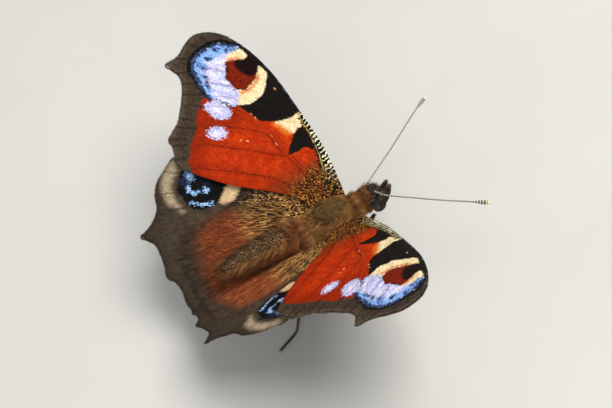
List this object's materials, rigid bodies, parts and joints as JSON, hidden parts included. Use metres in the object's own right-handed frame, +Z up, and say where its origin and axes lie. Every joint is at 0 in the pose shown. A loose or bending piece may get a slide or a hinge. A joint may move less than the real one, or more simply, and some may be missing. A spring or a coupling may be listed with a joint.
{
  "type": "peacock butterfly",
  "caption": "Life-size peacock butterfly standing on its legs, wings held half open in a shallow V, feelers spread forward.",
  "frame": {"origin": "centre of the bounding box in X and Y, on the floor under the feet", "axes": "+X to the butterfly's left, -Y towards its head, +Z up"},
  "size_m": [0.0552, 0.041, 0.0217],
  "materials": {
    "forewing_scales": "powdery overlapping scales, orange-red with black, cream and blue eyespot",
    "hindwing_scales": "powdery scales and fine hair, grey-brown and rust-red with a black and blue eyespot",
    "body_hair": "dense soft hair, orange-brown over olive-brown",
    "head_hair": "short dark brown bristly hair",
    "eye": "glossy faceted compound eye",
    "leg": "dark brown scaled and bristled legs",
    "feeler": "dark with fine pale rings, cream tips"
  },
  "bodies": {
    "root": {"abdomen": "body_hair", "antenna_left": "feeler", "antenna_right": "feeler", "eye_left": "eye", "eye_right": "eye", "foreleg_left": "leg", "foreleg_right": "leg", "forewing_left": "forewing_scales", "forewing_right": "forewing_scales", "head": "head_hair", "hindleg_left_femur": "leg", "hindleg_left_tarsus": "leg", "hindleg_left_tibia": "leg", "hindleg_right_femur": "leg", "hindleg_right_tarsus": "leg", "hindleg_right_tibia": "leg", "hindwing_left": "hindwing_scales", "hindwing_right": "hindwing_scales", "midleg_left_femur": "leg", "midleg_left_tarsus": "leg", "midleg_left_tibia": "leg", "midleg_right_femur": "leg", "midleg_right_tarsus": "leg", "midleg_right_tibia": "leg", "palp_left": "head_hair", "palp_right": "head_hair", "proboscis": "feeler", "thorax": "body_hair"}
  },
  "joints": []
}
